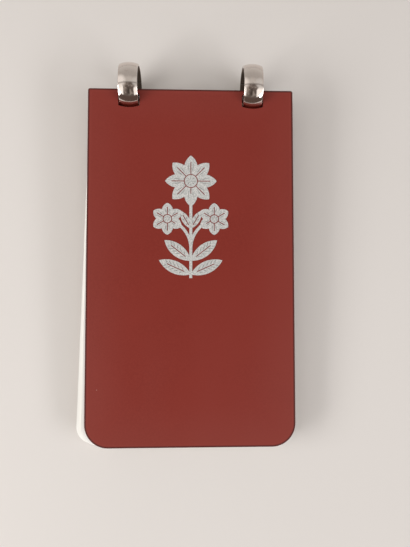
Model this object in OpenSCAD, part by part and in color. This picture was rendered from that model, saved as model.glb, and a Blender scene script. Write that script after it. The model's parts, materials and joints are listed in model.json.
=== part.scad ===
// Pocket aide memoire: two hard covers and a stack of writing leaves that turn on two half-round rings.
// It lies on its back as on a table: the rings' undersides and the back cover's free edge touch Z = 0.
// X runs across the covers, +Y points to the rings and +Z is up.

/* [Covers] */
// Width of each cover
cover_width = 58; // [48:0.5:80]
// Length of each cover, from its ring end to its free end
cover_length = 100; // [80:0.5:150]
// Thickness of each cover
cover_thickness = 1.1; // [0.8:0.05:1.6]
// Corner radius at the free end
free_corner_radius = 6.5; // [3:0.5:12]
// Corner radius at the ring end
ring_corner_radius = 0.6; // [0.5:0.1:3]
// Rounding of every outer edge
cover_edge_radius = 0.3; // [0.1:0.05:0.35]

/* [Leaves] */
// Number of writing leaves
leaf_count = 7; // [3:1:9]
// Thickness of each leaf
leaf_thickness = 0.45; // [0.2:0.05:0.5]
// Air between neighbours in the closed stack
stack_gap = 0.05; // [0.03:0.01:0.1]
// How far the leaves stop short of the covers' sides
leaf_side_margin = 0.2; // [0.1:0.1:2]
// How far the leaves stop short of the covers' ring end
leaf_ring_margin = 0.4; // [0.3:0.1:2]
// How far the leaves stop short of the covers' free end
leaf_end_margin = 0.2; // [0.1:0.1:2]
// Corner radius of the leaves at their free end
leaf_corner_radius = 4.5; // [1:0.5:8]
// Turn of the most crooked leaf on the rings, in degrees
leaf_skew = 1.65; // [0:0.05:2]
// The leaf that lies most crooked, counted from the front
crooked_leaf = 2; // [1:1:7]
// Loss of skew from one leaf to the next, as a share
skew_step = 0.5; // [0.1:0.05:1]

/* [Rings] */
// Inner radius of each ring
ring_bore_radius = 5.65; // [5.2:0.05:7]
// Width of the ring's band
ring_band_width = 5.3; // [3:0.1:8]
// Thickness of the band at its edges
ring_edge_thickness = 0.65; // [0.4:0.05:1]
// Extra thickness at the crown of the half-round band
ring_crown = 0.5; // [0.2:0.05:1.2]
// Width of the butt seam where the bent band closes
ring_seam = 0.15; // [0.05:0.05:0.4]
// Place of the seam around the ring, in degrees below the far side
ring_seam_place = 50; // [20:5:70]
// Distance from a cover's side to the middle of the ring
ring_inset = 11.5; // [8:0.1:16]
// Distance of the ring axis beyond the ring end of the covers
ring_overhang = 1.5; // [1:0.1:2]

/* [Slots] */
// Play between a ring and the sides of its slot in a cover
slot_clearance = 0.35; // [0.2:0.05:0.5]
// Play between a ring and the foot of its slot in a cover
slot_foot_clearance = 0.3; // [0.2:0.05:0.8]
// Play between a ring and its slot in a leaf
leaf_slot_clearance = 0.8; // [0.5:0.05:1.2]
// Corner radius of the slots at their upper end
slot_corner_radius = 0.7; // [0.3:0.1:1]
// Strip of a sheet that is left between its slots and its ring end
slot_strip = 1.2; // [0.8:0.1:2]

/* [Ornament] */
// Height of the ornament
ornament_height = 34.5; // [20:0.5:40]
// Distance from the covers' ring end to the middle of the ornament
ornament_drop = 36.3; // [30:0.1:40]
// Thickness of the foil
foil_thickness = 0.06; // [0.04:0.01:0.1]
// Width of the pierced lines in the foil
pierced_line = 0.24; // [0.15:0.01:0.3]

/* [Hidden] */
$fn = 96;

COVER_RED = "#84352d";
FOIL_SILVER = "#cdd0ce";
RING_STEEL = "#c9c5bd";
LEAF_IVORY = "#f7f3e6";

// Straight steps in each quarter round of a cover's edge
edge_steps = 5;
// Straight steps in each round corner of a leaf or slot
corner_steps = 12;
// Straight steps in the foot of a slot
foot_steps = 20;
// Spare depth that lets a cutter pass both faces
cut_through = 1;

// Closed stack, measured from the ring axis
stack_thickness = 2 * cover_thickness + leaf_count * leaf_thickness + (leaf_count + 1) * stack_gap;
stack_half = stack_thickness / 2;
free_end = ring_overhang + cover_length;

// Half-round bands
ring_spacing = cover_width - 2 * ring_inset;
ring_radius = ring_bore_radius + ring_edge_thickness + ring_crown;
crown_radius = (pow(ring_band_width / 2, 2) + pow(ring_crown, 2)) / (2 * ring_crown);
seam_angle = 2 * asin(ring_seam / 2 / ring_radius);

// Leaves
leaf_width = cover_width - 2 * leaf_side_margin;
leaf_length = cover_length - leaf_ring_margin - leaf_end_margin;
leaf_end = ring_overhang + leaf_ring_margin;
leaf_pivot = ring_bore_radius + (ring_edge_thickness + ring_crown) / 2;
skew_shift = ring_spacing / 2 * sin(leaf_skew);

// Lying pose: the line that touches both rings and the back cover's free edge becomes level
rest_edge_y = free_end - cover_edge_radius;
rest_edge_z = stack_half - cover_edge_radius;
rest_reach = norm([rest_edge_y, rest_edge_z]);
lie_angle = asin((ring_radius - cover_edge_radius) / rest_reach) - atan2(rest_edge_z, rest_edge_y);
axis_y = (free_end * cos(lie_angle) + stack_half * sin(lie_angle) - ring_radius) / 2;

// Depth of a round surface in front of the ring axis, at a height from that axis
function round_depth(radius, height) = sqrt(pow(radius, 2) - pow(height, 2));

// Distance of the band's outer face from the ring axis, at an offset from the middle of the band
function band_reach(offset) =
    ring_radius - crown_radius + round_depth(crown_radius, offset);

// Middle height of a leaf in the stack, counted from the front
function leaf_height(number) =
    stack_half - cover_thickness - number * (stack_gap + leaf_thickness) + leaf_thickness / 2;

// Skew of a leaf: the most crooked one has it all, and its neighbours less with each step
function skew_of(number) = leaf_skew * max(0, 1 - skew_step * abs(number - crooked_leaf));

// Points of a quarter turn about a centre
function quarter_turn(centre, radius, from_angle, steps) = [
    for (step = [0:steps])
        let (angle = from_angle + 90 * step / steps)
        centre + radius * [cos(angle), sin(angle)]
];

// Rectangle that hangs down from Y = 0, with one corner radius at its top and one at its foot
function hanging_outline(width, length, top_radius, foot_radius) = concat(
    quarter_turn([width / 2 - top_radius, -top_radius], top_radius, 0, corner_steps),
    quarter_turn([top_radius - width / 2, -top_radius], top_radius, 90, corner_steps),
    quarter_turn([foot_radius - width / 2, foot_radius - length], foot_radius, 180, corner_steps),
    quarter_turn([width / 2 - foot_radius, foot_radius - length], foot_radius, 270, corner_steps)
);

// Slot with round corners at its upper end and a foot that follows the crown of the band
function slot_outline(upper_end, least_height, side_play, end_play) =
    let (half_width = ring_band_width / 2 + side_play)
    let (corner = [half_width - slot_corner_radius, -upper_end - slot_corner_radius])
    concat(
        quarter_turn(corner, slot_corner_radius, 0, corner_steps),
        quarter_turn([-corner[0], corner[1]], slot_corner_radius, 90, corner_steps),
        [for (step = [0:foot_steps])
            let (share = 2 * step / foot_steps - 1)
            let (reach = band_reach(share * ring_band_width / 2))
            [share * half_width, -round_depth(reach, least_height) - end_play]]
    );

// Half section of a cover plate, from its inside out to its rounded rim
function rim_section(reach) =
    let (rim_centre = reach - cover_edge_radius)
    concat(
        [[0, 0]],
        quarter_turn([rim_centre, cover_edge_radius], cover_edge_radius, -90, edge_steps),
        quarter_turn([rim_centre, cover_thickness - cover_edge_radius], cover_edge_radius, 0, edge_steps),
        [[0, cover_thickness]]
    );

// Turns the closed stack, drawn round the ring axis, into its lying pose
module lying() {
    translate([0, axis_y, ring_radius])
        rotate([lie_angle, 0, 0])
            children();
}

// Places a shape at both rings
module at_rings() {
    for (side = [-1, 1])
        translate([side * ring_spacing / 2, 0, 0])
            children();
}

// Slots for both rings in a sheet whose ring end and least height are measured from the ring axis
module ring_slots(sheet_end, least_height, side_play, end_play) {
    at_rings()
        polygon(slot_outline(sheet_end + slot_strip, least_height, side_play, end_play));
}

// One end of a cover: two corners turned about their centres, and the straight rim between them
module cover_end(radius) {
    between = cover_width - 2 * radius;
    for (side = [-1, 1])
        translate([side * between / 2, 0, 0])
            rotate([0, 0, side > 0 ? 0 : 90])
                rotate_extrude(angle = 90)
                    polygon(rim_section(radius));
    rotate([90, 0, 90])
        linear_extrude(height = between, center = true)
            polygon(rim_section(radius));
}

// Cover plate with all its edges rounded, its ring end at Y = 0 and its under face at Z = 0
module cover_blank() {
    middle_length = cover_length - free_corner_radius - ring_corner_radius;
    translate([0, -ring_corner_radius, 0])
        rotate([90, 0, 0])
            linear_extrude(height = middle_length)
                for (side = [0, 1])
                    mirror([side, 0])
                        polygon(rim_section(cover_width / 2));
    translate([0, -ring_corner_radius, 0])
        cover_end(ring_corner_radius);
    translate([0, -cover_length + free_corner_radius, 0])
        mirror([0, 1, 0])
            cover_end(free_corner_radius);
}

// Cover with its slots, its under face at a height from the ring axis
module cover(under_face) {
    difference() {
        translate([0, -ring_overhang, under_face])
            cover_blank();
        translate([0, 0, under_face - cut_through])
            linear_extrude(height = cover_thickness + 2 * cut_through)
                ring_slots(ring_overhang, stack_half - cover_thickness, slot_clearance, slot_foot_clearance);
    }
}

module back_cover() {
    color(COVER_RED)
        lying()
            cover(-stack_half);
}

module front_cover() {
    color(COVER_RED)
        lying()
            cover(stack_half - cover_thickness);
}

// Half-round band bent into a ring, with its butt seam turned towards the table
module ring() {
    rotate([0, 90, 0])
        rotate([0, 0, 90 - ring_seam_place + seam_angle / 2])
            rotate_extrude(angle = 360 - seam_angle)
                intersection() {
                    translate([ring_bore_radius, -ring_band_width / 2])
                        square([ring_edge_thickness + ring_crown, ring_band_width]);
                    translate([ring_radius - crown_radius, 0])
                        circle(r = crown_radius);
                }
}

module left_ring() {
    color(RING_STEEL)
        lying()
            translate([-ring_spacing / 2, 0, 0])
                ring();
}

module right_ring() {
    color(RING_STEEL)
        lying()
            translate([ring_spacing / 2, 0, 0])
                ring();
}

module leaf(number) {
    height = leaf_height(number);
    least_height = max(0, abs(height) - leaf_thickness / 2);
    color(LEAF_IVORY)
        lying()
            translate([0, -leaf_pivot, height])
                rotate([0, 0, -skew_of(number)])
                    translate([0, leaf_pivot, 0])
                        linear_extrude(height = leaf_thickness, center = true)
                            difference() {
                                translate([0, -leaf_end])
                                    polygon(hanging_outline(
                                        leaf_width, leaf_length, ring_corner_radius, leaf_corner_radius
                                    ));
                                ring_slots(
                                    leaf_end, least_height, leaf_slot_clearance,
                                    leaf_slot_clearance + skew_shift
                                );
                            }
}

// Pointed leaf that grows along +Y from the origin, with a pierced midrib
module foil_leaf(length, width) {
    arc_radius = (pow(length, 2) + pow(width, 2)) / (4 * width);
    difference() {
        translate([0, length / 2])
            intersection_for (side = [-1, 1])
                translate([side * (arc_radius - width / 2), 0])
                    circle(r = arc_radius);
        translate([-pierced_line / 2, length * 0.2])
            square([pierced_line, length * 0.55]);
    }
}

// Open flower: petals round a pierced ring and an eye
module foil_flower(radius, petals) {
    eye = radius * 0.24;
    difference() {
        for (petal = [0:petals - 1])
            rotate([0, 0, petal * 360 / petals])
                foil_leaf(radius, radius * 4.2 / petals);
        circle(r = eye + pierced_line);
    }
    circle(r = eye);
}

// Side stem: an arc that leaves the main stem at the origin and bends outwards as far as its reach
module foil_side_stem(bend, reach, width) {
    translate([bend, 0])
        intersection() {
            difference() {
                circle(r = bend + width / 2);
                circle(r = bend - width / 2);
            }
            translate([-bend - width, 0])
                square([reach + width, bend + width]);
        }
}

// Flowering sprig, centred on the origin and alike on both sides of its stem
module sprig() {
    unit = ornament_height;
    stem = unit * 0.024;
    foot = -unit / 2;
    flower_radius = unit * 0.21;
    flower_height = unit / 2 - flower_radius;
    side_bend = unit * 0.24;
    side_flower_radius = unit * 0.13;
    side_place = unit * 0.19;
    fork = foot + unit * 0.24;
    translate([-stem / 2, foot])
        square([stem, flower_height - flower_radius / 2 - foot]);
    translate([0, flower_height])
        foil_flower(flower_radius, 8);
    for (side = [0, 1])
        mirror([side, 0]) {
            translate([0, foot + unit * 0.03])
                rotate([0, 0, -66])
                    foil_leaf(unit * 0.28, unit * 0.1);
            translate([0, foot + unit * 0.14])
                rotate([0, 0, -52])
                    foil_leaf(unit * 0.27, unit * 0.1);
            translate([0, fork])
                foil_side_stem(side_bend, side_place - side_flower_radius / 2, stem);
            translate([side_place, fork + side_bend])
                foil_flower(side_flower_radius, 6);
            translate([0, foot + unit * 0.4])
                rotate([0, 0, -30])
                    foil_leaf(unit * 0.17, unit * 0.06);
        }
}

module front_motif() {
    color(FOIL_SILVER)
        lying()
            translate([0, -ring_overhang - ornament_drop, stack_half])
                linear_extrude(height = foil_thickness)
                    sprig();
}

back_cover();
front_cover();
front_motif();
left_ring();
right_ring();
for (number = [1:leaf_count])
    leaf(number);
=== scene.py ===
import json
import math

import bmesh
import bpy
from mathutils import Matrix, Vector


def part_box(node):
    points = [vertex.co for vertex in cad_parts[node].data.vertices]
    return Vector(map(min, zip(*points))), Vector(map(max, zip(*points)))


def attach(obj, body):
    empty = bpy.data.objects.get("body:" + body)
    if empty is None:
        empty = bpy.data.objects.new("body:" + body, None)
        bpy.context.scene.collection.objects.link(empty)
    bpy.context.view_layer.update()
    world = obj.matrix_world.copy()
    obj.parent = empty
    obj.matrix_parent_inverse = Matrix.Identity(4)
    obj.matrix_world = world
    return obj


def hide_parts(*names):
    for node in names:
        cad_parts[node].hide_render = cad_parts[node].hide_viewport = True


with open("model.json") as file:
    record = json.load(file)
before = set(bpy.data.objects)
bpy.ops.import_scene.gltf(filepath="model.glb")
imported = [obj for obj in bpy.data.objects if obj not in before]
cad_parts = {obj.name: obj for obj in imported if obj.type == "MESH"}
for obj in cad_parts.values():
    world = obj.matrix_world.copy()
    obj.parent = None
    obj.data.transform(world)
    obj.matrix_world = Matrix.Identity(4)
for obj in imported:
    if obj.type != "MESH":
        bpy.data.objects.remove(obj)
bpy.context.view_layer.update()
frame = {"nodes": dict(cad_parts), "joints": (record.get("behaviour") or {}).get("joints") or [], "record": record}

# Pocket aide memoire: looks for the covers, leaves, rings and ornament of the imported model.
# All lengths are in metres, in the model's own frame: X across, +Y towards the rings, +Z up.
# Colours are linear red, green and blue.
MM = 0.001
ACROSS = Vector((1, 0, 0))

# Closed stack: half its thickness, and how far the rings' axis lies beyond the covers' ring end
STACK_HALF = 2.875 * MM
RING_OVERHANG = 1.5 * MM

# Covers
COVER_WIDTH = 58 * MM
COVER_LENGTH = 100 * MM
FREE_CORNER_RADIUS = 6.5 * MM
RING_CORNER_RADIUS = 0.6 * MM

# Half-round ring band
RING_BORE = 5.65 * MM
RING_EDGE = 0.65 * MM
RING_SHOULDER = RING_BORE + RING_EDGE
RING_CROWN = 0.5 * MM
RING_BAND = 5.3 * MM
RING_SPACING = 35 * MM
RING_SEAM = 0.15 * MM
RING_SEAM_PLACE = math.radians(-50)
RING_EDGE_ROUND = 0.14 * MM

# Steps round a ring, over its crown and in each of its rounded edges
RING_STEPS = 180
CROWN_STEPS = 28
EDGE_STEPS = 4
# Share of the crown's arc that is left between the rounded edges
CROWN_SHARE = 0.93

# Ornament, and how far its engraved strokes reach into the foil and out of it
ORNAMENT_HEIGHT = 34.5 * MM
ORNAMENT_DROP = 36.3 * MM
FOIL_THICKNESS = 0.06 * MM
STROKE_SINK = 0.01 * MM
STROKE_RISE = 0.012 * MM

# Half an engraved stroke's outline: share of its length, and of its width to one side
STROKE_SIDE = [(0.35, 0.5), (0.7, 0.35)]

# Floor: half its side, its cells each way, and how far it lies under the object
FLOOR_HALF = 2.5
FLOOR_CELLS = 8
FLOOR_DROP = 0.02 * MM

# Photograph's frame and the focal length that it was taken with, in its pixels
PHOTO_WIDTH = 410
PHOTO_HEIGHT = 547
FOCAL_PIXELS = 430
SENSOR_LONG_SIDE = 36

# Camera's place and target over the front cover: across, down from its ring end, and up from its face
CAMERA_PLACE = (0.143 * MM, 57.48 * MM, 119.564 * MM)
CAMERA_TARGET = (3.963 * MM, 52.271 * MM, 0)
CAMERA_CLIP = 5 * MM

# The model lies on its back: the tilt of its back face gives the turn about the rings' axis
back_face = next(mount for mount in frame["record"]["mounts"] if mount["name"] == "back_face")
LIE_ANGLE = math.atan2(back_face["axis"][1], -back_face["axis"][2])
hinge = next(joint for joint in frame["joints"] if joint["name"] == "cover_open")
RING_AXIS = Vector(hinge["pos_m"])
LYING = Matrix.Translation(RING_AXIS) @ Matrix.Rotation(LIE_ANGLE, 4, "X")
UP_THE_STACK = LYING.to_3x3() @ Vector((0, 1, 0))
OUT_OF_THE_STACK = LYING.to_3x3() @ Vector((0, 0, 1))


def on_front_cover(x, drop, lift):
    """A point over the front cover's face: across, down from its ring end, and up from the face."""
    return LYING @ Vector((x, -RING_OVERHANG - drop, STACK_HALF + lift))


# Shader helpers


def add_node(tree, kind, **settings):
    """A new shader node with its settings."""
    node = tree.nodes.new(kind)
    for name, value in settings.items():
        setattr(node, name, value)
    return node


def feed(tree, socket, source):
    """Sets an input socket to a value, or links it to an output socket."""
    if isinstance(source, bpy.types.NodeSocket):
        tree.links.new(source, socket)
    else:
        socket.default_value = source


def math_node(tree, operation, first, second=0.0):
    """An operation on one or two numbers."""
    node = add_node(tree, "ShaderNodeMath", operation=operation)
    feed(tree, node.inputs[0], first)
    feed(tree, node.inputs[1], second)
    return node.outputs[0]


def plus(tree, first, second):
    """The sum of two numbers."""
    return math_node(tree, "ADD", first, second)


def minus(tree, first, second):
    """The first number less the second."""
    return math_node(tree, "SUBTRACT", first, second)


def times(tree, first, second):
    """The product of two numbers."""
    return math_node(tree, "MULTIPLY", first, second)


def unsigned(tree, value):
    """A number without its sign."""
    return math_node(tree, "ABSOLUTE", value)


def ramp_between(tree, value, start, end, low=0.0, high=1.0):
    """A smooth step: low before start, high after end."""
    node = add_node(tree, "ShaderNodeMapRange", interpolation_type="SMOOTHSTEP", clamp=True)
    feed(tree, node.inputs["Value"], value)
    feed(tree, node.inputs["From Min"], start)
    feed(tree, node.inputs["From Max"], end)
    feed(tree, node.inputs["To Min"], low)
    feed(tree, node.inputs["To Max"], high)
    return node.outputs["Result"]


def blend_colours(tree, share, first, second):
    """A mix of two colours by a share from 0 to 1."""
    node = add_node(tree, "ShaderNodeMix", data_type="RGBA")
    feed(tree, node.inputs["Factor"], share)
    feed(tree, node.inputs["A"], first)
    feed(tree, node.inputs["B"], second)
    return node.outputs["Result"]


def dot_with(tree, vector, direction):
    """How far a vector points along a direction."""
    node = add_node(tree, "ShaderNodeVectorMath", operation="DOT_PRODUCT")
    feed(tree, node.inputs[0], vector)
    feed(tree, node.inputs[1], direction)
    return node.outputs["Value"]


def stretched(tree, vector, stretch):
    """Coordinates multiplied by a number for each axis."""
    node = add_node(tree, "ShaderNodeVectorMath", operation="MULTIPLY")
    feed(tree, node.inputs[0], vector)
    feed(tree, node.inputs[1], stretch)
    return node.outputs["Vector"]


def noise(tree, vector, patch_size, detail, roughness=0.5):
    """Soft noise whose patches are about patch_size across."""
    node = add_node(tree, "ShaderNodeTexNoise")
    feed(tree, node.inputs["Vector"], vector)
    feed(tree, node.inputs["Scale"], 1 / patch_size)
    feed(tree, node.inputs["Detail"], detail)
    feed(tree, node.inputs["Roughness"], roughness)
    return node.outputs["Factor" if "Factor" in node.outputs else "Fac"]


def bump(tree, height, depth, normal=None):
    """A bumped normal from a height that runs from 0 to 1 over a depth in metres."""
    node = add_node(tree, "ShaderNodeBump")
    feed(tree, node.inputs["Strength"], 1.0)
    feed(tree, node.inputs["Distance"], depth)
    feed(tree, node.inputs["Height"], height)
    if normal is not None:
        feed(tree, node.inputs["Normal"], normal)
    return node.outputs["Normal"]


def new_material(name):
    """A material with its node tree, its principled shader and its coordinates."""
    material = bpy.data.materials.new(name)
    material.use_nodes = True
    tree = material.node_tree
    shader = tree.nodes["Principled BSDF"]
    place = add_node(tree, "ShaderNodeTexCoord")
    return material, tree, shader, place.outputs


def rgba(red, green, blue):
    """An opaque colour."""
    return (red, green, blue, 1.0)


def dust_specks(tree, vector, spacing, size, share):
    """A few round specks: in a share of the cells of this spacing there is one of this size."""
    cells = add_node(tree, "ShaderNodeTexVoronoi", feature="F1")
    feed(tree, cells.inputs["Vector"], vector)
    feed(tree, cells.inputs["Scale"], 1 / spacing)
    near = ramp_between(tree, cells.outputs["Distance"], start=size / spacing, end=0.5 * size / spacing)
    lot = add_node(tree, "ShaderNodeSeparateColor")
    feed(tree, lot.inputs[0], cells.outputs["Color"])
    chosen = math_node(tree, "LESS_THAN", lot.outputs[0], share)
    return times(tree, near, chosen)


# Materials


def drop_from_rings(tree, spot):
    """Distance of a point from the covers' ring end, measured down the closed stack."""
    ring_end = RING_AXIS.dot(UP_THE_STACK) - RING_OVERHANG
    return minus(tree, ring_end, dot_with(tree, spot, UP_THE_STACK))


def cover_depth(tree, spot):
    """Distance of a point from the nearest edge of its cover's outline, measured inwards."""
    from_middle = unsigned(tree, dot_with(tree, spot, ACROSS))
    towards_rings = minus(tree, COVER_LENGTH / 2, drop_from_rings(tree, spot))
    at_rings = math_node(tree, "GREATER_THAN", towards_rings, 0.0)
    radius_change = times(tree, at_rings, RING_CORNER_RADIUS - FREE_CORNER_RADIUS)
    radius = plus(tree, radius_change, FREE_CORNER_RADIUS)
    past_side = plus(tree, minus(tree, from_middle, COVER_WIDTH / 2), radius)
    past_end = plus(tree, minus(tree, unsigned(tree, towards_rings), COVER_LENGTH / 2), radius)
    side_part = math_node(tree, "POWER", math_node(tree, "MAXIMUM", past_side, 0.0), 2.0)
    end_part = math_node(tree, "POWER", math_node(tree, "MAXIMUM", past_end, 0.0), 2.0)
    corner_reach = math_node(tree, "SQRT", plus(tree, side_part, end_part))
    straight_reach = math_node(tree, "MINIMUM", math_node(tree, "MAXIMUM", past_side, past_end), 0.0)
    return minus(tree, minus(tree, radius, corner_reach), straight_reach)


def cover_material():
    """Satin red hard plastic with a faint mottle, a fine grain and stray dust; painted sheen towards the edges and
    the free end, a painted highlight line just inside the rim, and painted shade on the rim.
    """
    deep_red = rgba(0.195, 0.0176, 0.0102)
    clear_red = rgba(0.214, 0.0206, 0.0124)
    grain_red = rgba(0.218, 0.0226, 0.0139)
    sheen_pink = rgba(0.34, 0.17, 0.15)
    highlight_red = rgba(0.26, 0.042, 0.03)
    rim_shade_brown = rgba(0.085, 0.0115, 0.009)
    dust_grey = rgba(0.5, 0.4, 0.36)
    most_sheen = 0.045
    most_highlight = 0.3
    most_dust = 0.5
    rim_dullness = 0.25
    material, tree, shader, place = new_material("cover_red")
    spot = place["Object"]
    mottle = ramp_between(tree, noise(tree, spot, patch_size=22 * MM, detail=3.0), start=0.3, end=0.7)
    grain = ramp_between(tree, noise(tree, spot, patch_size=0.45 * MM, detail=3.0), start=0.25, end=0.75)
    grained = blend_colours(tree, grain, blend_colours(tree, mottle, deep_red, clear_red), grain_red)
    depth = cover_depth(tree, spot)
    drop = drop_from_rings(tree, spot)
    # Painted sheen: a pink haze that lightens the cover towards its free end and within 14 mm of its edges
    sheen_to_free_end = ramp_between(tree, drop, start=45 * MM, end=COVER_LENGTH, high=most_sheen)
    sheen_to_rim = ramp_between(tree, depth, start=14 * MM, end=0.0, high=most_sheen)
    sheened = blend_colours(tree, plus(tree, sheen_to_free_end, sheen_to_rim), grained, sheen_pink)
    # Painted highlight: a lighter red line 0.7 to 1.4 mm in from the cover's edges
    painted_lighting = times(tree, ramp_between(tree, depth, start=1.4 * MM, end=0.7 * MM), most_highlight)
    highlighted = blend_colours(tree, painted_lighting, sheened, highlight_red)
    # Painted shade: a dark brown rim on the outermost 0.7 mm of the cover's edges
    rim_shade = ramp_between(tree, depth, start=0.7 * MM, end=0.35 * MM)
    rim_shaded = blend_colours(tree, rim_shade, highlighted, rim_shade_brown)
    specks = dust_specks(tree, spot, spacing=9 * MM, size=0.16 * MM, share=0.16)
    dusty = blend_colours(tree, times(tree, specks, most_dust), rim_shaded, dust_grey)
    feed(tree, shader.inputs["Base Color"], dusty)
    lengthwise = stretched(tree, spot, (1.0, 0.35, 1.0))
    smears = noise(tree, lengthwise, patch_size=14 * MM, detail=4.0, roughness=0.6)
    satin = ramp_between(tree, smears, start=0.25, end=0.75, low=0.4, high=0.5)
    feed(tree, shader.inputs["Roughness"], plus(tree, satin, times(tree, rim_shade, rim_dullness)))
    shader.inputs["Specular IOR Level"].default_value = 0.3
    wave = bump(tree, noise(tree, spot, patch_size=30 * MM, detail=1.0), depth=0.05 * MM)
    feed(tree, shader.inputs["Normal"], bump(tree, grain, depth=0.004 * MM, normal=wave))
    return material


def slot_walls(tree, spot, edge):
    """Mask of the leaves' slot walls, where shade is painted: edge faces beside a ring, past the strip at the ring
    end.
    """
    from_middle = unsigned(tree, dot_with(tree, spot, ACROSS))
    from_ring = unsigned(tree, minus(tree, from_middle, RING_SPACING / 2))
    drop = drop_from_rings(tree, spot)
    by_ring = ramp_between(tree, from_ring, start=RING_BAND / 2 + 2 * MM, end=RING_BAND / 2 + 1.6 * MM)
    past_strip = ramp_between(tree, drop, start=0.95 * MM, end=1.15 * MM)
    by_slots = ramp_between(tree, drop, start=10 * MM, end=9 * MM)
    return times(tree, times(tree, edge, times(tree, by_ring, past_strip)), by_slots)


def leaf_material():
    """Smooth ivory-white sheet with a faint grain, yellowed edges, and painted shade on the slot walls beside the
    rings.
    """
    ivory = rgba(0.96, 0.955, 0.925)
    pale_ivory = rgba(0.985, 0.98, 0.955)
    aged_ivory = rgba(0.955, 0.94, 0.89)
    edge_yellow = rgba(0.92, 0.895, 0.825)
    slot_shade_brown = rgba(0.13, 0.075, 0.055)
    material, tree, shader, place = new_material("leaf_ivory")
    spot = place["Object"]
    lengthwise = stretched(tree, spot, (1.0, 0.03, 1.0))
    grain = noise(tree, lengthwise, patch_size=0.7 * MM, detail=3.0, roughness=0.6)
    cloud = noise(tree, spot, patch_size=26 * MM, detail=3.0)
    sheet = blend_colours(tree, grain, ivory, pale_ivory)
    aged = blend_colours(tree, ramp_between(tree, cloud, start=0.45, end=0.8), sheet, aged_ivory)
    flatness = unsigned(tree, dot_with(tree, place["Normal"], OUT_OF_THE_STACK))
    edge = ramp_between(tree, flatness, start=0.8, end=0.3)
    edged = blend_colours(tree, edge, aged, edge_yellow)
    # Painted shade: dark brown on the slot walls beside the rings
    painted_lighting = slot_walls(tree, spot, edge)
    feed(tree, shader.inputs["Base Color"], blend_colours(tree, painted_lighting, edged, slot_shade_brown))
    satin = ramp_between(tree, cloud, start=0.2, end=0.8, low=0.36, high=0.46)
    feed(tree, shader.inputs["Roughness"], satin)
    shader.inputs["Specular IOR Level"].default_value = 0.45
    feed(tree, shader.inputs["Normal"], bump(tree, grain, depth=0.003 * MM))
    return material


def ring_material():
    """Bright nickel plate with fine hairlines round the band and a few dull patches."""
    nickel = rgba(0.725, 0.65, 0.603)
    bright_nickel = rgba(0.78, 0.706, 0.662)
    tarnished_nickel = rgba(0.65, 0.563, 0.505)
    material, tree, shader, place = new_material("ring_plate")
    spot = place["Object"]
    round_band = stretched(tree, spot, (1.0, 0.06, 0.06))
    hairlines = noise(tree, round_band, patch_size=0.12 * MM, detail=2.0, roughness=0.6)
    dull = noise(tree, spot, patch_size=1.6 * MM, detail=4.0, roughness=0.6)
    tarnish = ramp_between(tree, dull, start=0.55, end=0.8)
    plate = blend_colours(tree, hairlines, nickel, bright_nickel)
    feed(tree, shader.inputs["Base Color"], blend_colours(tree, tarnish, plate, tarnished_nickel))
    shader.inputs["Metallic"].default_value = 1.0
    polish = ramp_between(tree, dull, start=0.3, end=0.8, low=0.05, high=0.13)
    feed(tree, shader.inputs["Roughness"], polish)
    feed(tree, shader.inputs["Normal"], bump(tree, hairlines, depth=0.0006 * MM))
    return material


def bore_material():
    """Dull inner face and side walls of the rings: brownish, with painted shade by the seam and on the side walls.
    """
    stain_brown = rgba(0.21, 0.165, 0.135)
    pale_brown = rgba(0.3, 0.245, 0.205)
    seam_shade_brown = rgba(0.09, 0.068, 0.054)
    side_shade_brown = rgba(0.1, 0.072, 0.056)
    material, tree, shader, place = new_material("ring_bore")
    spot = place["Object"]
    blotches = noise(tree, spot, patch_size=0.9 * MM, detail=4.0, roughness=0.6)
    stain = ramp_between(tree, blotches, start=0.3, end=0.7)
    plain = blend_colours(tree, stain, stain_brown, pale_brown)
    # Painted shade: darker brown on the bore by the seam
    seam_angle = RING_SEAM_PLACE + LIE_ANGLE
    to_seam = Vector((0, math.cos(seam_angle), math.sin(seam_angle)))
    reach = minus(tree, dot_with(tree, spot, to_seam), RING_AXIS.dot(to_seam))
    near_seam = ramp_between(tree, reach, start=0.55 * RING_BORE, end=0.9 * RING_BORE)
    seam_shaded = blend_colours(tree, near_seam, plain, seam_shade_brown)
    # Painted shade: darker brown on the ring's flat side walls
    sideways = unsigned(tree, dot_with(tree, place["Normal"], ACROSS))
    side_wall = ramp_between(tree, sideways, start=0.5, end=0.8)
    feed(tree, shader.inputs["Base Color"], blend_colours(tree, side_wall, seam_shaded, side_shade_brown))
    shader.inputs["Metallic"].default_value = 0.6
    dullness = ramp_between(tree, stain, start=0.0, end=1.0, low=0.38, high=0.5)
    feed(tree, shader.inputs["Roughness"], dullness)
    feed(tree, shader.inputs["Normal"], bump(tree, stain, depth=0.003 * MM))
    return material


def foil_material():
    """Pale silver print with a fine speckle."""
    speck_grey = rgba(0.46, 0.475, 0.47)
    silver = rgba(0.6, 0.612, 0.602)
    pale_silver = rgba(0.82, 0.805, 0.79)
    material, tree, shader, place = new_material("foil_silver")
    spot = place["Object"]
    fine = noise(tree, spot, patch_size=0.35 * MM, detail=2.0, roughness=0.7)
    speckle = ramp_between(tree, fine, start=0.35, end=0.65)
    cloud = noise(tree, spot, patch_size=5 * MM, detail=3.0)
    pale = blend_colours(tree, cloud, silver, pale_silver)
    feed(tree, shader.inputs["Base Color"], blend_colours(tree, speckle, speck_grey, pale))
    shader.inputs["Metallic"].default_value = 0.25
    satin = ramp_between(tree, speckle, start=0.0, end=1.0, low=0.5, high=0.4)
    feed(tree, shader.inputs["Roughness"], satin)
    feed(tree, shader.inputs["Normal"], bump(tree, speckle, depth=0.003 * MM))
    return material


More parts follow.
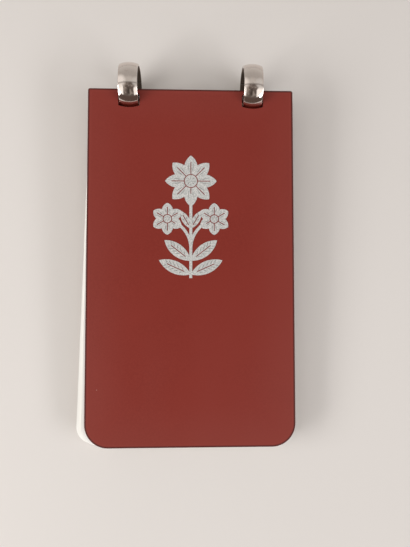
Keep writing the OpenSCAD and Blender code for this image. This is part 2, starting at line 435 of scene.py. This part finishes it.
def ink_material():
    """Dark grey ink of the ornament's fine lines."""
    dark_ink = rgba(0.075, 0.06, 0.06)
    worn_ink = rgba(0.16, 0.14, 0.14)
    material, tree, shader, place = new_material("line_ink")
    patches = noise(tree, place["Object"], patch_size=0.5 * MM, detail=2.0)
    wear = ramp_between(tree, patches, start=0.3, end=0.7)
    feed(tree, shader.inputs["Base Color"], blend_colours(tree, wear, dark_ink, worn_ink))
    dullness = ramp_between(tree, wear, start=0.0, end=1.0, low=0.45, high=0.6)
    feed(tree, shader.inputs["Roughness"], dullness)
    return material


def floor_material():
    """Plain pale paper."""
    grey_paper = rgba(0.69, 0.66, 0.64)
    pale_paper = rgba(0.72, 0.69, 0.67)
    fleck_white = rgba(0.74, 0.71, 0.69)
    most_flecks = 0.2
    material, tree, shader, place = new_material("floor_paper")
    fibre = noise(tree, place["Object"], patch_size=1.5 * MM, detail=3.0)
    cloud = noise(tree, place["Object"], patch_size=90 * MM, detail=2.0)
    paper = blend_colours(tree, cloud, grey_paper, pale_paper)
    flecks = times(tree, fibre, most_flecks)
    feed(tree, shader.inputs["Base Color"], blend_colours(tree, flecks, paper, fleck_white))
    shader.inputs["Roughness"].default_value = 0.85
    shader.inputs["Specular IOR Level"].default_value = 0.2
    feed(tree, shader.inputs["Normal"], bump(tree, fibre, depth=0.01 * MM))
    return material


cover_red = cover_material()
leaf_ivory = leaf_material()
ring_plate = ring_material()
ring_bore = bore_material()
foil_silver = foil_material()
line_ink = ink_material()


def give_material(thing, material):
    """Puts one material on the whole of an object."""
    thing.data.materials.clear()
    thing.data.materials.append(material)


for name, node in frame["nodes"].items():
    if name.startswith("leaf_"):
        give_material(node, leaf_ivory)
    elif name.endswith("_cover"):
        give_material(node, cover_red)
    elif name == "front_motif":
        give_material(node, foil_silver)
    else:
        give_material(node, ring_plate)


# Meshes


def new_object(name, work):
    """An object from a finished bmesh."""
    bmesh.ops.recalc_face_normals(work, faces=work.faces)
    mesh = bpy.data.meshes.new(name)
    work.to_mesh(mesh)
    work.free()
    thing = bpy.data.objects.new(name, mesh)
    bpy.context.scene.collection.objects.link(thing)
    return thing


def round_corner(corner, before, after):
    """Points of an arc in place of a corner of the band's outline that has these neighbours."""
    to_before = (before - corner).normalized()
    to_after = (after - corner).normalized()
    half_angle = to_before.angle(to_after) / 2
    centre = corner + (to_before + to_after).normalized() * (RING_EDGE_ROUND / math.sin(half_angle))
    reach = RING_EDGE_ROUND / math.tan(half_angle)
    start = corner + to_before * reach - centre
    turn = math.pi - 2 * half_angle
    side = 1 if to_before.x * to_after.y - to_before.y * to_after.x < 0 else -1
    points = []
    for step in range(EDGE_STEPS + 1):
        angle = side * turn * step / EDGE_STEPS
        turned_x = start.x * math.cos(angle) - start.y * math.sin(angle)
        turned_y = start.x * math.sin(angle) + start.y * math.cos(angle)
        points.append(centre + Vector((turned_x, turned_y)))
    return points


def band_section():
    """Outline of the half-round band: offset across it, and distance from the ring's axis."""
    half = RING_BAND / 2
    crown_radius = (half**2 + RING_CROWN**2) / (2 * RING_CROWN)
    crown_centre = RING_SHOULDER + RING_CROWN - crown_radius
    crown_half_angle = math.asin(half / crown_radius)
    crown = []
    for step in range(CROWN_STEPS + 1):
        angle = crown_half_angle * CROWN_SHARE * (2 * step / CROWN_STEPS - 1)
        rise = crown_centre + crown_radius * math.cos(angle)
        crown.append(Vector((crown_radius * math.sin(angle), rise)))
    bore_left = Vector((-half, RING_BORE))
    bore_right = Vector((half, RING_BORE))
    left = Vector((-half, RING_SHOULDER))
    right = Vector((half, RING_SHOULDER))
    outline = round_corner(left, bore_left, crown[0])
    outline += crown
    outline += round_corner(right, crown[-1], bore_right)
    outline += round_corner(bore_right, right, bore_left)
    outline += round_corner(bore_left, bore_right, left)
    return outline


def ring_piece(name, node):
    """Finely turned half-round ring with a butt seam, in place of a CAD ring."""
    low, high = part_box(node)
    centre = Vector(((low.x + high.x) / 2, RING_AXIS.y, RING_AXIS.z))
    section = band_section()
    seam_half_angle = RING_SEAM / 2 / RING_SHOULDER
    first_angle = RING_SEAM_PLACE + LIE_ANGLE + seam_half_angle
    sweep = 2 * math.pi - 2 * seam_half_angle
    work = bmesh.new()
    loops = []
    for step in range(RING_STEPS + 1):
        angle = first_angle + sweep * step / RING_STEPS
        outwards = Vector((0, math.cos(angle), math.sin(angle)))
        loops.append([work.verts.new(centre + ACROSS * point.x + outwards * point.y) for point in section])
    # The crown and its rounded edges have the first material; the bore, side walls and seam have the second
    dull_below = RING_SHOULDER - RING_EDGE_ROUND
    for first, second in zip(loops, loops[1:]):
        for index in range(len(section)):
            following = (index + 1) % len(section)
            face = work.faces.new((first[index], first[following], second[following], second[index]))
            face.smooth = True
            is_dull = max(section[index].y, section[following].y) < dull_below
            face.material_index = 1 if is_dull else 0
    for seam_loop in (loops[0], loops[-1]):
        work.faces.new(seam_loop).material_index = 1
    ring = new_object(name, work)
    ring.data.materials.append(ring_plate)
    ring.data.materials.append(ring_bore)
    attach(ring, node)
    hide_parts(node)


def on_foil(x, y, lift):
    """A point on the ornament, measured from its middle, and up from the foil's face."""
    return on_front_cover(x, ORNAMENT_DROP - y, FOIL_THICKNESS + lift)


def pointing(direction):
    """The step of length 1 on the ornament in a direction, turned clockwise from upright."""
    return Vector((math.sin(direction), math.cos(direction)))


def engrave(work, start, direction, length, width):
    """One engraved stroke: a thin slip, pointed at both ends, that stands a hair above the foil."""
    along = pointing(direction)
    beside = Vector((along.y, -along.x))
    other_side = [(share, -side) for share, side in reversed(STROKE_SIDE)]
    shape = [(0.0, 0.0), *STROKE_SIDE, (1.0, 0.0), *other_side]
    spots = [start + along * (length * share) + beside * (width * side) for share, side in shape]
    under = [work.verts.new(on_foil(spot.x, spot.y, -STROKE_SINK)) for spot in spots]
    over = [work.verts.new(on_foil(spot.x, spot.y, STROKE_RISE)) for spot in spots]
    work.faces.new(over)
    work.faces.new(list(reversed(under)))
    for index in range(len(spots)):
        following = (index + 1) % len(spots)
        work.faces.new((under[index], under[following], over[following], over[index]))


def engrave_leaf(work, root, direction, length, width, pairs):
    """Side veins of a pointed leaf that grows from its root: pairs of strokes along its midrib."""
    first_vein = 0.24
    veined_share = 0.5
    vein_turn = math.radians(38)
    vein_reach = 1.05
    vein_width = 0.13 * MM
    from_midrib = 0.2 * MM
    along = pointing(direction)
    beside = Vector((along.y, -along.x))
    for pair in range(pairs):
        share = first_vein + veined_share * pair / (pairs - 1)
        half_width = width / 2 * (1 - (2 * share - 1) ** 2)
        for side in (-1, 1):
            start = root + along * (length * share) + beside * (side * from_midrib)
            engrave(work, start, direction + side * vein_turn, vein_reach * half_width, vein_width)


def engrave_flower(work, centre, radius, petals):
    """Two fine strokes on each petal, and a ring of short ones round the eye."""
    petal_stroke_spread = 0.42 * math.pi / petals
    petal_stroke_lean = 0.16
    petal_stroke_start = 0.36 * radius
    petal_stroke_length = 0.34 * radius
    petal_stroke_width = 0.12 * MM
    eye_stroke_start = 0.06 * radius
    eye_stroke_length = 0.15 * radius
    eye_stroke_width = 0.1 * MM
    for petal in range(petals):
        middle = 2 * math.pi * petal / petals
        for side in (-1, 1):
            root = centre + pointing(middle + side * petal_stroke_spread) * petal_stroke_start
            lean = middle + side * petal_stroke_lean
            engrave(work, root, lean, petal_stroke_length, petal_stroke_width)
        eye_root = centre + pointing(middle) * eye_stroke_start
        engrave(work, eye_root, middle, eye_stroke_length, eye_stroke_width)


def ornament_lines():
    """Fine engraved lines on the ornament's leaves and flowers, by shares of its height."""
    unit = ORNAMENT_HEIGHT
    foot = -unit / 2
    big_radius = 0.21 * unit
    small_radius = 0.13 * unit
    small_flower_out = 0.19 * unit
    small_flower_up = foot + 0.48 * unit
    low_root = Vector((0, foot + 0.03 * unit))
    middle_root = Vector((0, foot + 0.14 * unit))
    high_root = Vector((0, foot + 0.4 * unit))
    low_turn = math.radians(66)
    middle_turn = math.radians(52)
    high_turn = math.radians(30)
    work = bmesh.new()
    engrave_flower(work, Vector((0, unit / 2 - big_radius)), big_radius, petals=8)
    for side in (-1, 1):
        engrave_flower(work, Vector((side * small_flower_out, small_flower_up)), small_radius, petals=6)
        engrave_leaf(work, low_root, side * low_turn, length=0.28 * unit, width=0.1 * unit, pairs=5)
        engrave_leaf(work, middle_root, side * middle_turn, length=0.27 * unit, width=0.1 * unit, pairs=5)
        engrave_leaf(work, high_root, side * high_turn, length=0.17 * unit, width=0.06 * unit, pairs=3)
    lines = new_object("motif_lines", work)
    give_material(lines, line_ink)
    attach(lines, "front_cover")


ring_piece("left_ring_band", "left_ring")
ring_piece("right_ring_band", "right_ring")
ornament_lines()


# Stage: floor, studio light and camera


def make_floor():
    """Wide plain floor just under the object."""
    work = bmesh.new()
    bmesh.ops.create_grid(work, x_segments=FLOOR_CELLS, y_segments=FLOOR_CELLS, size=FLOOR_HALF)
    bmesh.ops.translate(work, verts=work.verts, vec=(0, 0, -FLOOR_DROP))
    floor = new_object("floor", work)
    give_material(floor, floor_material())


def from_front(azimuth, elevation):
    """Direction to a place in the room: azimuth 0 is in front of the object, positive to its right."""
    turn = math.radians(azimuth)
    rise = math.radians(elevation)
    return Vector((math.sin(turn) * math.cos(rise), -math.cos(turn) * math.cos(rise), math.sin(rise)))


def window_light(name, azimuth, elevation, distance, width, height, brightness, colour):
    """Large soft window that shines on the object, with its brightness as seen in a mirror."""
    lamp = bpy.data.lights.new(name, "AREA")
    lamp.shape = "RECTANGLE"
    lamp.size = width
    lamp.size_y = height
    lamp.energy = math.pi * width * height * brightness
    lamp.color = colour
    holder = bpy.data.objects.new(name, lamp)
    away = from_front(azimuth, elevation)
    holder.location = away * distance
    holder.rotation_mode = "QUATERNION"
    holder.rotation_quaternion = away.to_track_quat("Z", "Y")
    holder.visible_camera = False
    bpy.context.scene.collection.objects.link(holder)


def room_walls(tree, direction, forwards, height):
    """Plain pale back wall and ceiling, and a darker front wall that is patchy high up."""
    low_back = rgba(0.7, 0.67, 0.63)
    high_back = rgba(0.54, 0.51, 0.475)
    overhead = rgba(0.7, 0.665, 0.62)
    front_brown = rgba(0.17, 0.138, 0.122)
    front_patch = rgba(0.39, 0.338, 0.3)
    low_front_brown = rgba(0.13, 0.09, 0.075)
    back_wall = blend_colours(tree, ramp_between(tree, height, start=0.1, end=0.75), low_back, high_back)
    ceiling = blend_colours(tree, ramp_between(tree, height, start=0.84, end=0.985), back_wall, overhead)
    patches = ramp_between(tree, noise(tree, direction, patch_size=0.24, detail=1.0), start=0.42, end=0.58)
    high_patches = times(tree, patches, ramp_between(tree, height, start=0.42, end=0.56))
    front_wall = blend_colours(tree, high_patches, front_brown, front_patch)
    walls = blend_colours(tree, ramp_between(tree, forwards, start=-0.02, end=0.08), ceiling, front_wall)
    far_front = ramp_between(tree, forwards, start=0.42, end=0.6)
    low_down = ramp_between(tree, height, start=0.5, end=0.36)
    return blend_colours(tree, times(tree, far_front, low_down), walls, low_front_brown)


def room_bar(tree, walls, sideways, forwards, height):
    """Dark upright bar in front of the object, a little to the left of the middle."""
    bar_brown = rgba(0.085, 0.066, 0.056)
    left_of_middle = 0.055
    from_bar = unsigned(tree, plus(tree, sideways, left_of_middle))
    in_front = ramp_between(tree, forwards, start=0.2, end=0.62)
    high_up = ramp_between(tree, height, start=0.42, end=0.66)
    bar = times(tree, ramp_between(tree, from_bar, start=0.13, end=0.05), times(tree, in_front, high_up))
    return blend_colours(tree, bar, walls, bar_brown)


def room_panes(tree, walls, sideways, forwards, height):
    """Bright window panes in front of the object, at the left and at the right."""
    pane_white = rgba(1.5, 1.46, 1.4)
    over_sill = ramp_between(tree, height, start=0.4, end=0.48)
    under_head = ramp_between(tree, height, start=0.88, end=0.8)
    in_front = ramp_between(tree, forwards, start=0.12, end=0.16)
    at_left = ramp_between(tree, sideways, start=-0.42, end=-0.48)
    at_right = ramp_between(tree, sideways, start=0.3, end=0.38)
    place = times(tree, times(tree, over_sill, under_head), in_front)
    return blend_colours(tree, times(tree, place, plus(tree, at_left, at_right)), walls, pane_white)


def room_glows(tree, walls, direction):
    """Soft glows high up at both sides."""
    left_white = rgba(1.15, 1.1, 1.05)
    right_grey = rgba(0.78, 0.76, 0.73)
    to_left = dot_with(tree, direction, from_front(azimuth=-100, elevation=48))
    to_right = dot_with(tree, direction, from_front(azimuth=97, elevation=55))
    left_lit = blend_colours(tree, ramp_between(tree, to_left, start=0.84, end=0.985), walls, left_white)
    return blend_colours(tree, ramp_between(tree, to_right, start=0.88, end=0.985), left_lit, right_grey)


def room_beam(tree, walls, forwards):
    """Dim beam overhead, from side to side, where the front wall begins."""
    beam_brown = rgba(0.14, 0.12, 0.11)
    most_beam = 0.5
    back_edge = ramp_between(tree, forwards, start=-0.06, end=-0.02)
    front_edge = ramp_between(tree, forwards, start=0.1, end=0.05)
    beam = times(tree, times(tree, back_edge, front_edge), most_beam)
    return blend_colours(tree, beam, walls, beam_brown)


def make_room():
    """Soft room: plain and pale behind and above the object, darker in front, with lit windows."""
    world = bpy.data.worlds.new("room")
    bpy.context.scene.world = world
    world.use_nodes = True
    tree = world.node_tree
    direction = add_node(tree, "ShaderNodeTexCoord").outputs["Generated"]
    sideways = dot_with(tree, direction, ACROSS)
    forwards = dot_with(tree, direction, (0, -1, 0))
    height = dot_with(tree, direction, (0, 0, 1))
    colour = room_walls(tree, direction, forwards, height)
    colour = room_bar(tree, colour, sideways, forwards, height)
    colour = room_panes(tree, colour, sideways, forwards, height)
    colour = room_glows(tree, colour, direction)
    colour = room_beam(tree, colour, forwards)
    background = tree.nodes["Background"]
    feed(tree, background.inputs["Color"], colour)
    background.inputs["Strength"].default_value = 0.875


def make_camera():
    """Camera at the photograph's place, found from the front cover's edges in it."""
    data = bpy.data.cameras.new("camera")
    data.sensor_width = SENSOR_LONG_SIDE
    data.lens = SENSOR_LONG_SIDE * FOCAL_PIXELS / max(PHOTO_WIDTH, PHOTO_HEIGHT)
    data.clip_start = CAMERA_CLIP
    camera = bpy.data.objects.new("camera", data)
    bpy.context.scene.collection.objects.link(camera)
    place = on_front_cover(*CAMERA_PLACE)
    target = on_front_cover(*CAMERA_TARGET)
    forward = (target - place).normalized()
    right = forward.cross(UP_THE_STACK).normalized()
    up = right.cross(forward)
    axes = Matrix((right, up, -forward)).transposed()
    camera.matrix_world = Matrix.Translation(place) @ axes.to_4x4()
    bpy.context.scene.camera = camera


make_floor()
make_room()
window_light(
    "left_window",
    azimuth=-73,
    elevation=25,
    distance=0.5,
    width=0.375,
    height=0.15,
    brightness=10.35,
    colour=(1.0, 0.985, 0.96),
)
window_light(
    "right_window",
    azimuth=64,
    elevation=26,
    distance=0.6,
    width=0.47,
    height=0.11,
    brightness=9.6,
    colour=(0.98, 0.985, 1.0),
)
make_camera()
bpy.context.scene.view_settings.view_transform = "Standard"
